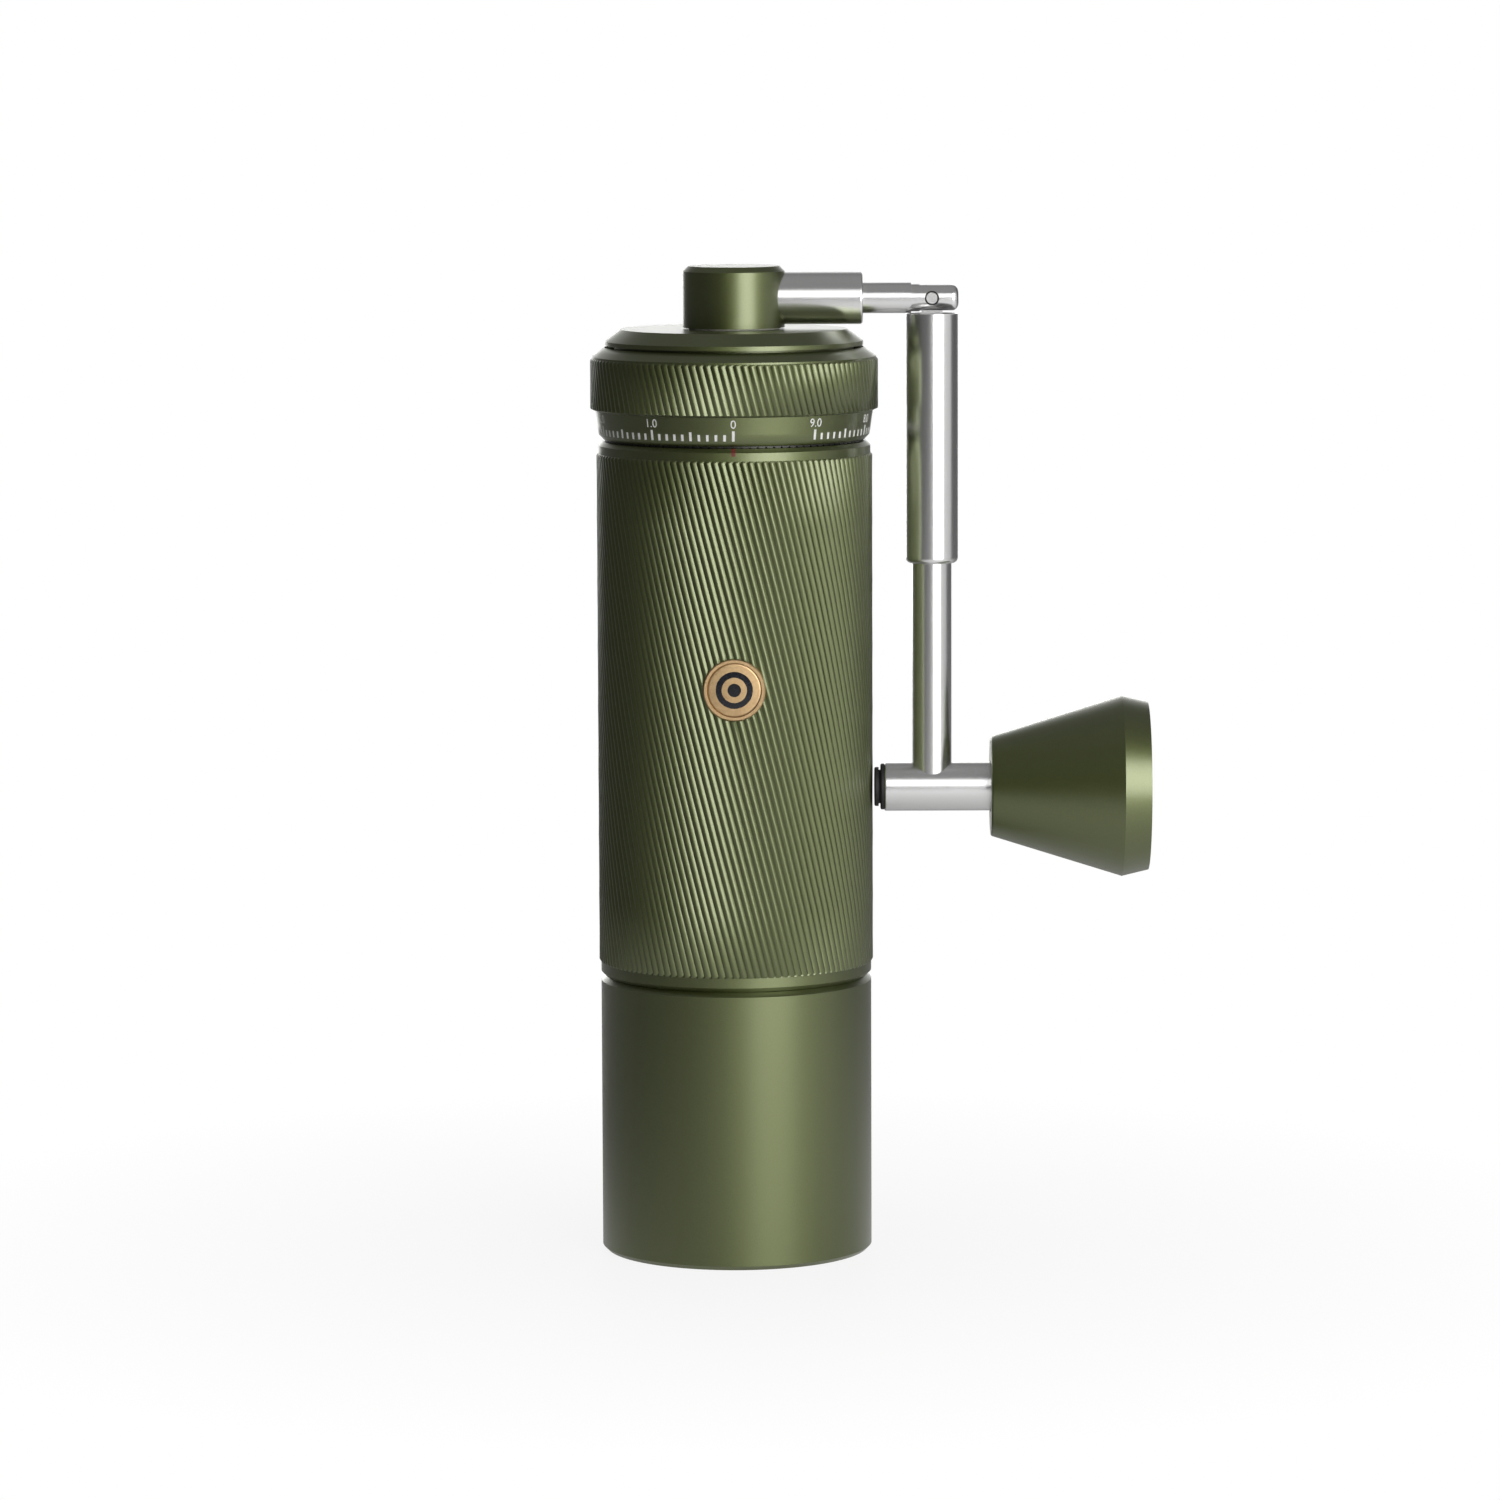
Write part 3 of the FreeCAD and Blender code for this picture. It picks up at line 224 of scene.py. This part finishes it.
# Floor
FLOOR_REACH = 6.0
FLOOR_DARK = (0.56, 0.56, 0.56)
FLOOR_PALE = (0.6, 0.6, 0.6)
FLOOR_GRAIN = 40
FLOOR_ROUGHNESS = 0.6
SHADOW_NEAR = 0.03  # distance from the axis within which the shadow shows most
SHADOW_FAR = 0.18
SHADOW_WHITE = 0.88  # share of pure white within that distance
MIRROR_SPOT = (0.2, -0.24, 0)  # middle of the glowing patch that only reflections show, painted light
MIRROR_NEAR = 0.1
MIRROR_FAR = 0.45
MIRROR_GLOW = 0.9

# Lamps
OBJECT_MIDDLE = (0, 0, 0.1)
LAMP_LEVEL = (0, 0, 0.42)  # on the axis, as high as the lamps on the right
LAMPS = {
    "key": dict(place=(0.525, -0.91, 0.42), aim=LAMP_LEVEL, width=0.7, height=0.82, power=9.5),
    "side": dict(place=(1.0, -0.32, 0.42), aim=LAMP_LEVEL, width=0.8, height=0.82, power=1.2),
    "front": dict(place=(0.0, -1.5, 0.75), aim=OBJECT_MIDDLE, width=0.25, height=0.9, power=1.6),
    "back": dict(place=(-0.1, 1.0, 0.16), aim=OBJECT_MIDDLE, width=0.6, height=0.3, power=1.6),
}

# Camera at the photograph's angle
CAMERA_PLACE = Vector((8.3, -1200, 232.7)) * MM
CAMERA_PITCH = math.radians(6.535)
CAMERA_YAW = math.radians(0.265)
CAMERA_ROLL = math.radians(-0.21)
SENSOR = 36.0
FOCAL_LENGTH = 153.0


def new_material(name):
    """Material with a plain Principled shader. Returns the material, its node tree and the shader."""
    material = bpy.data.materials.new(name)
    material.use_nodes = True
    tree = material.node_tree
    return material, tree, tree.nodes["Principled BSDF"]


def noise(tree, scale, stretch=(1, 1, 1)):
    """Noise in object coordinates, whose grains measure about 1 / scale metres."""
    place = tree.nodes.new("ShaderNodeTexCoord")
    mapping = tree.nodes.new("ShaderNodeMapping")
    texture = tree.nodes.new("ShaderNodeTexNoise")
    mapping.inputs["Scale"].default_value = stretch
    texture.inputs["Scale"].default_value = scale
    texture.inputs["Detail"].default_value = NOISE_DETAIL
    tree.links.new(place.outputs["Object"], mapping.inputs["Vector"])
    tree.links.new(mapping.outputs["Vector"], texture.inputs["Vector"])
    return texture.outputs["Fac"]


def between(tree, value, low, high, start=NOISE_LOW, end=NOISE_HIGH):
    """Number that runs from low to high while value runs from start to end."""
    node = tree.nodes.new("ShaderNodeMapRange")
    node.inputs["From Min"].default_value = start
    node.inputs["From Max"].default_value = end
    node.inputs["To Min"].default_value = low
    node.inputs["To Max"].default_value = high
    tree.links.new(value, node.inputs["Value"])
    return node.outputs["Result"]


def combine(tree, operation, first, second):
    """Number worked out from two others."""
    node = tree.nodes.new("ShaderNodeMath")
    node.operation = operation
    tree.links.new(first, node.inputs[0])
    tree.links.new(second, node.inputs[1])
    return node.outputs["Value"]


def blend_colours(tree, value, first, second):
    """Colour that runs from first to second with value."""
    ramp = tree.nodes.new("ShaderNodeValToRGB")
    ramp.color_ramp.elements[0].position = NOISE_LOW
    ramp.color_ramp.elements[0].color = (*first, 1)
    ramp.color_ramp.elements[1].position = NOISE_HIGH
    ramp.color_ramp.elements[1].color = (*second, 1)
    tree.links.new(value, ramp.inputs["Fac"])
    return ramp.outputs["Color"]


def bump(tree, shader, height, strength, distance):
    """Fine relief on the shader."""
    node = tree.nodes.new("ShaderNodeBump")
    node.inputs["Strength"].default_value = strength
    node.inputs["Distance"].default_value = distance
    tree.links.new(height, node.inputs["Height"])
    tree.links.new(node.outputs["Normal"], shader.inputs["Normal"])


def surface(name, dark, pale, roughness, grain, metallic=1.0, stretch=(1, 1, 1), relief=(0.1, 0.00002)):
    """Finish with grain in its colour, roughness and relief, which is a strength and a height."""
    material, tree, shader = new_material(name)
    shader.inputs["Metallic"].default_value = metallic
    fine = noise(tree, grain, stretch=stretch)
    tree.links.new(blend_colours(tree, fine, dark, pale), shader.inputs["Base Color"])
    tree.links.new(between(tree, fine, *roughness), shader.inputs["Roughness"])
    bump(tree, shader, fine, *relief)
    return material


def anodised_green():
    """Bead-blasted aluminium under an olive anodised skin."""
    material = surface(
        "anodised_green",
        dark=(0.079, 0.101, 0.011),
        pale=(0.097, 0.121, 0.015),
        roughness=(0.42, 0.5),
        grain=3800,
        relief=(0.12, 0.00002),
    )
    shader = material.node_tree.nodes["Principled BSDF"]
    shader.inputs["Coat Weight"].default_value = 1.0
    shader.inputs["Coat Roughness"].default_value = 0.33
    shader.inputs["Coat IOR"].default_value = 1.8
    return material


def turned_steel(name, stretch):
    """Polished stainless steel with faint turning marks around its axis."""
    return surface(
        name,
        dark=(0.77, 0.77, 0.765),
        pale=(0.81, 0.81, 0.805),
        roughness=(0.24, 0.265),
        grain=60,
        stretch=stretch,
        relief=(0.006, 0.000002),
    )


def build_materials():
    """Finishes by the names of their slots, and those that only some nodes or added pieces have."""
    materials = {
        "green_anodised": anodised_green(),
        "polished_steel": turned_steel("polished_steel_level", LEVEL_TURNING),
        "polished_steel_upright": turned_steel("polished_steel_upright", UPRIGHT_TURNING),
    }
    for name, values in FINISHES.items():
        materials[name] = surface(name, **values)
    return materials


def finish_nodes(materials):
    """Gives each CAD node its finish."""
    for subpart in frame["record"]["subparts"]:
        name = subpart["node"]
        mesh = nodes[name].data
        mesh.materials.clear()
        mesh.materials.append(materials[NODE_FINISHES.get(name, subpart["material_slot"])])


def add_piece(name, vertices, faces, material, body):
    """Mesh piece that rides on a body."""
    mesh = bpy.data.meshes.new(name)
    mesh.from_pydata(vertices, [], faces)
    mesh.update()
    mesh.materials.append(material)
    piece = bpy.data.objects.new(name, mesh)
    bpy.context.scene.collection.objects.link(piece)
    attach(piece, body)
    return piece


def add_strip(vertices, faces, place, left, right, rows, inner, outer):
    """Small closed strip through rows of heights, whose corners place() bends onto a surface."""
    corners = ((left, outer), (right, outer), (right, inner), (left, inner))
    rings = []
    for up in rows:
        first = len(vertices)
        vertices.extend(place(across, up, depth) for across, depth in corners)
        rings.append([first + i for i in range(len(corners))])
    for low, high in zip(rings, rings[1:]):
        for i in range(len(corners)):
            j = (i + 1) % len(corners)
            faces.append((low[i], low[j], high[j], high[i]))
    faces.append(tuple(reversed(rings[0])))
    faces.append(tuple(rings[-1]))


def add_turned(vertices, faces, outline, place):
    """Closed form around an axis. outline is a loop of (radius, height), where radius 0 is one point."""
    rings = []
    for radius, out in outline:
        first = len(vertices)
        count = ROUND_SEGMENTS if radius > 0 else 1
        for i in range(count):
            angle = 2 * math.pi * i / ROUND_SEGMENTS
            vertices.append(place(radius * math.cos(angle), radius * math.sin(angle), out))
        rings.append([first + i % count for i in range(ROUND_SEGMENTS)])
    for here, following in zip(rings, rings[1:] + rings[:1]):
        for i in range(ROUND_SEGMENTS):
            j = (i + 1) % ROUND_SEGMENTS
            corners = tuple(dict.fromkeys((here[i], following[i], following[j], here[j])))
            if len(corners) > 2:
                faces.append(corners)


def scale_point(angle, across, up, depth):
    """Point on the dial's conical band, across and up from its lower edge at an angle, depth outwards."""
    slope = (SCALE_UPPER_R - SCALE_LOWER_R) / SCALE_HEIGHT
    radius = SCALE_LOWER_R + slope * up + depth
    turn = angle + across / SCALE_LOWER_R
    return Vector((radius * math.cos(turn), radius * math.sin(turn), scale_z + up))


def scale_angle(step):
    """Place of a scale value on the dial at rest. Values grow to the left of the front."""
    return FRONT_ANGLE - step * SCALE_STEP


def make_scale_marks(material):
    """All the marks of the dial's scale as one piece of filled engraving."""
    vertices = []
    faces = []
    half = MARK_WIDTH / 2
    last = (SCALE_STEPS - 1) * MINOR_PER_STEP
    for i in range(last + 1):
        length = MINOR_LENGTH
        if i % MINOR_PER_STEP == 0:
            length = MAJOR_LENGTH
        elif i % MINOR_PER_STEP == MINOR_PER_STEP // 2:
            length = HALF_LENGTH
        place = partial(scale_point, scale_angle(i / MINOR_PER_STEP))
        rows = (MARK_START, MARK_START + length)
        add_strip(vertices, faces, place, -half, half, rows, -MARK_SUNK, MARK_PROUD)
    add_piece("scale_marks", vertices, faces, material, "dial")


def text_mesh(text, height, thickness):
    """Flat mesh of plain digits, centred, standing on its base line."""
    curve = bpy.data.curves.new("digits", "FONT")
    curve.body = text
    curve.size = height / DIGIT_SHARE
    curve.align_x = "CENTER"
    curve.extrude = thickness / 2
    holder = bpy.data.objects.new("digits", curve)
    bpy.context.scene.collection.objects.link(holder)
    bpy.context.view_layer.update()
    mesh = bpy.data.meshes.new_from_object(holder.evaluated_get(bpy.context.evaluated_depsgraph_get()))
    bpy.data.objects.remove(holder)
    return mesh


def make_scale_numbers(material):
    """Numbers above the major marks, bent onto the band."""
    vertices = []
    faces = []
    foot = MARK_START + MAJOR_LENGTH + DIGIT_GAP
    thickness = MARK_PROUD + MARK_SUNK
    middle = (MARK_PROUD - MARK_SUNK) / 2
    for step in range(SCALE_STEPS):
        flat = text_mesh("0" if step == 0 else f"{step}.0", DIGIT_HEIGHT, thickness)
        first = len(vertices)
        for vertex in flat.vertices:
            across, up, depth = vertex.co
            vertices.append(scale_point(scale_angle(step), across, foot + up, depth + middle))
        faces.extend([tuple(first + i for i in polygon.vertices) for polygon in flat.polygons])
    add_piece("scale_numbers", vertices, faces, material, "dial")


def index_point(across, up, depth):
    """Point on the barrel's top band, folded inwards over the bevel above its edge."""
    edge = BARREL_SHOULDER - BARREL_BEVEL
    inward = max(0.0, up)
    proud = max(0.0, depth) if up > 0 else 0.0
    radius = BARREL_BAND_R - inward + depth
    turn = FRONT_ANGLE + across / BARREL_BAND_R
    return Vector((radius * math.cos(turn), radius * math.sin(turn), edge + up + proud))


def make_index(material):
    """Red mark that the scale is read against."""
    vertices = []
    faces = []
    half = INDEX_WIDTH / 2
    rows = (-INDEX_BAND_LENGTH, 0, BARREL_BEVEL)
    add_strip(vertices, faces, index_point, -half, half, rows, -MARK_SUNK, MARK_PROUD)
    add_piece("index_mark", vertices, faces, material, "barrel")


def turned_about_badge(outlines):
    """Closed forms around the badge's axis. An outline is a loop of (radius, height out of the face)."""
    low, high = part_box("badge")
    centre_z = (low.z + high.z) / 2
    face_y = low.y + BADGE_FACE_DROP
    vertices = []
    faces = []

    def place(across, up, out):
        return (across, face_y - out, centre_z + up)

    for outline in outlines:
        add_turned(vertices, faces, outline, place)
    return vertices, faces


def dome(radius):
    """Height of the badge's dome at a radius."""
    return BADGE_DOME * (1 - (radius / BADGE_FACE_R) ** 2)


def make_badge_face(material):
    """Shallow domed face inside the badge's rim."""
    radii = [BADGE_FACE_R * i / BADGE_RINGS for i in range(BADGE_RINGS + 1)]
    outline = [(radius, dome(radius)) for radius in radii]
    outline += [(BADGE_FACE_R, -INLAY_SUNK), (0.0, -INLAY_SUNK)]
    vertices, faces = turned_about_badge([outline])
    piece = add_piece("badge_face", vertices, faces, material, "barrel")
    piece.data.shade_smooth()


def make_badge_inlay(material):
    """Black enamel ring and dot on the badge's face."""
    outlines = []
    for inner, outer in INLAY_RINGS:
        middle = (inner + outer) / 2
        top = [(radius, dome(radius) + INLAY_PROUD) for radius in (inner, middle, outer)]
        outlines.append(top + [(outer, 0.0), (inner, 0.0)])
    vertices, faces = turned_about_badge(outlines)
    add_piece("badge_inlay", vertices, faces, material, "barrel")


def welded_copy(name):
    """Vertices and faces of a CAD node, with the vertices along its edges joined."""
    node = nodes[name]
    index = {}
    vertices = []
    joined = []
    for vertex in node.data.vertices:
        point = node.matrix_world @ vertex.co
        key = tuple(round(value / WELD) for value in point)
        if key not in index:
            index[key] = len(vertices)
            vertices.append(point)
        joined.append(index[key])
    faces = [tuple(joined[i] for i in polygon.vertices) for polygon in node.data.polygons]
    return vertices, [face for face in faces if len(set(face)) == len(face)]


def make_ribbed(piece_name, name, body, material):
    """Stands for a ribbed node, with rounded crests on its ribs and sharp grooves between them."""
    vertices, faces = welded_copy(name)
    piece = add_piece(piece_name, vertices, faces, material, body)
    piece.data.shade_smooth()
    piece.data.set_sharp_from_angle(angle=RIB_ROUNDING)
    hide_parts(name)


def make_sleeve_spring(material):
    """Stands for the locking sleeve's spring, on a mesh of its own."""
    vertices, faces = welded_copy("sleeve_spring")
    piece = add_piece("locking_spring", vertices, faces, material, "handle")
    piece.data.shade_smooth()
    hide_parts("sleeve_spring")
    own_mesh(piece)


def make_pin_edge_shade(material):
    """Flat dark rings of painted shade for the countersunk edges around both ends of the hinge pin."""
    low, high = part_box("hinge_pin")
    x = (low.x + high.x) / 2
    z = (low.z + high.z) / 2
    vertices = []
    faces = []
    outline = (
        (PIN_EDGE_INNER, MARK_PROUD),
        (PIN_EDGE_OUTER, MARK_PROUD),
        (PIN_EDGE_OUTER, -MARK_SUNK),
        (PIN_EDGE_INNER, -MARK_SUNK),
    )

    def place(side, across, up, out):
        outwards = math.sqrt(KNUCKLE_R**2 - up**2) + out
        return (x - side * across, side * outwards, z + up)

    for side in (-1, 1):
        add_turned(vertices, faces, outline, partial(place, side))
    add_piece("pin_edge_shade", vertices, faces, material, "crank")


def seen_in_mirror(tree, path):
    """1 for what shows in a reflection or through glass."""
    return combine(tree, "MAXIMUM", path.outputs["Is Glossy Ray"], path.outputs["Is Transmission Ray"])


def make_world():
    """Studio that is white to the camera, glows most from above and shows a white back in reflections."""
    world = bpy.data.worlds.new("studio")
    bpy.context.scene.world = world
    world.use_nodes = True
    tree = world.node_tree
    background = tree.nodes["Background"]
    place = tree.nodes.new("ShaderNodeTexCoord")
    parts = tree.nodes.new("ShaderNodeSeparateXYZ")
    tree.links.new(place.outputs["Generated"], parts.inputs["Vector"])
    behind = between(tree, parts.outputs["Y"], 0.0, 1.0, BACKDROP_START, BACKDROP_FULL)
    above = between(tree, parts.outputs["Z"], WALL_GLOW, CEILING_GLOW, CEILING_START, CEILING_FULL)
    path = tree.nodes.new("ShaderNodeLightPath")
    mirrored = combine(tree, "MULTIPLY", behind, seen_in_mirror(tree, path))
    glow = combine(tree, "MAXIMUM", above, mirrored)
    level = combine(tree, "MAXIMUM", glow, path.outputs["Is Camera Ray"])
    background.inputs["Color"].default_value = (1, 1, 1, 1)
    tree.links.new(level, background.inputs["Strength"])


def distance_share(tree, place, centre, near, far, near_value, far_value):
    """Number that runs between two values with the distance from a point."""
    length = tree.nodes.new("ShaderNodeVectorMath")
    length.operation = "DISTANCE"
    length.inputs[1].default_value = centre
    tree.links.new(place.outputs["Object"], length.inputs[0])
    return between(tree, length.outputs["Value"], near_value, far_value, near, far)


def floor_white(tree):
    """Share of white glow in the floor: to the camera all but a faint shadow, in reflections a glowing
    patch of painted light.
    """
    path = tree.nodes.new("ShaderNodeLightPath")
    place = tree.nodes.new("ShaderNodeTexCoord")
    shown = distance_share(tree, place, (0, 0, 0), SHADOW_NEAR, SHADOW_FAR, SHADOW_WHITE, 1.0)
    # painted light: a glowing patch on the floor that only reflections see, for the highlights on the cup
    mirrored = distance_share(tree, place, MIRROR_SPOT, MIRROR_NEAR, MIRROR_FAR, MIRROR_GLOW, 0.0)
    return combine(
        tree,
        "MAXIMUM",
        combine(tree, "MULTIPLY", shown, path.outputs["Is Camera Ray"]),
        combine(tree, "MULTIPLY", mirrored, seen_in_mirror(tree, path)),
    )


def pale_floor():
    """Pale matt floor, mixed with a white glow."""
    material, tree, shader = new_material("pale_floor")
    grain = noise(tree, FLOOR_GRAIN)
    tree.links.new(blend_colours(tree, grain, FLOOR_DARK, FLOOR_PALE), shader.inputs["Base Color"])
    shader.inputs["Roughness"].default_value = FLOOR_ROUGHNESS
    glow = tree.nodes.new("ShaderNodeEmission")
    share = tree.nodes.new("ShaderNodeMixShader")
    tree.links.new(floor_white(tree), share.inputs["Fac"])
    tree.links.new(shader.outputs["BSDF"], share.inputs[1])
    tree.links.new(glow.outputs["Emission"], share.inputs[2])
    tree.links.new(share.outputs["Shader"], tree.nodes["Material Output"].inputs["Surface"])
    return material


def make_floor():
    """Floor that the cup stands on."""
    reach = FLOOR_REACH
    corners = [(-reach, -reach, 0), (reach, -reach, 0), (reach, reach, 0), (-reach, reach, 0)]
    mesh = bpy.data.meshes.new("floor")
    mesh.from_pydata(corners, [], [(0, 1, 2, 3)])
    mesh.materials.append(pale_floor())
    floor = bpy.data.objects.new("floor", mesh)
    bpy.context.scene.collection.objects.link(floor)
    floor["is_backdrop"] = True


def soft_box(name, place, aim, width, height, power):
    """Large soft studio lamp."""
    lamp = bpy.data.lights.new(name, "AREA")
    lamp.shape = "RECTANGLE"
    lamp.size = width
    lamp.size_y = height
    lamp.energy = power
    holder = bpy.data.objects.new(name, lamp)
    holder.location = place
    holder.rotation_euler = (Vector(aim) - Vector(place)).to_track_quat("-Z", "Y").to_euler()
    bpy.context.scene.collection.objects.link(holder)


def make_lights():
    """Broad key and a weaker lamp on the right, a narrow one above the camera and a low one behind."""
    for name, values in LAMPS.items():
        soft_box(name, **values)


def make_camera():
    """Camera at the photograph's place, for a square image."""
    data = bpy.data.cameras.new("camera")
    data.sensor_width = SENSOR
    data.lens = FOCAL_LENGTH
    camera = bpy.data.objects.new("camera", data)
    turn = Matrix.Rotation(CAMERA_YAW, 4, "Z")
    tilt = Matrix.Rotation(math.pi / 2 - CAMERA_PITCH, 4, "X")
    roll = Matrix.Rotation(CAMERA_ROLL, 4, "Z")
    camera.matrix_world = Matrix.Translation(CAMERA_PLACE) @ turn @ tilt @ roll
    bpy.context.scene.collection.objects.link(camera)
    bpy.context.scene.camera = camera


materials = build_materials()
finish_nodes(materials)
make_scale_marks(materials["white_fill"])
make_scale_numbers(materials["white_fill"])
make_index(materials["red_fill"])
make_ribbed("ribbed_barrel", "barrel", "barrel", materials["green_anodised"])
make_ribbed("ribbed_dial", "adjustment_dial", "dial", materials["green_anodised"])
make_sleeve_spring(materials["spring_steel"])
make_pin_edge_shade(materials["dark_steel"])
make_badge_face(materials["bronze"])
make_badge_inlay(materials["black_enamel"])
make_world()
make_floor()
make_lights()
make_camera()
bpy.context.scene.view_settings.view_transform = "Standard"

boxes = {"cad": cad_bounds, "visual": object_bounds()}
{name: [list(corner) for corner in box] for name, box in boxes.items()}
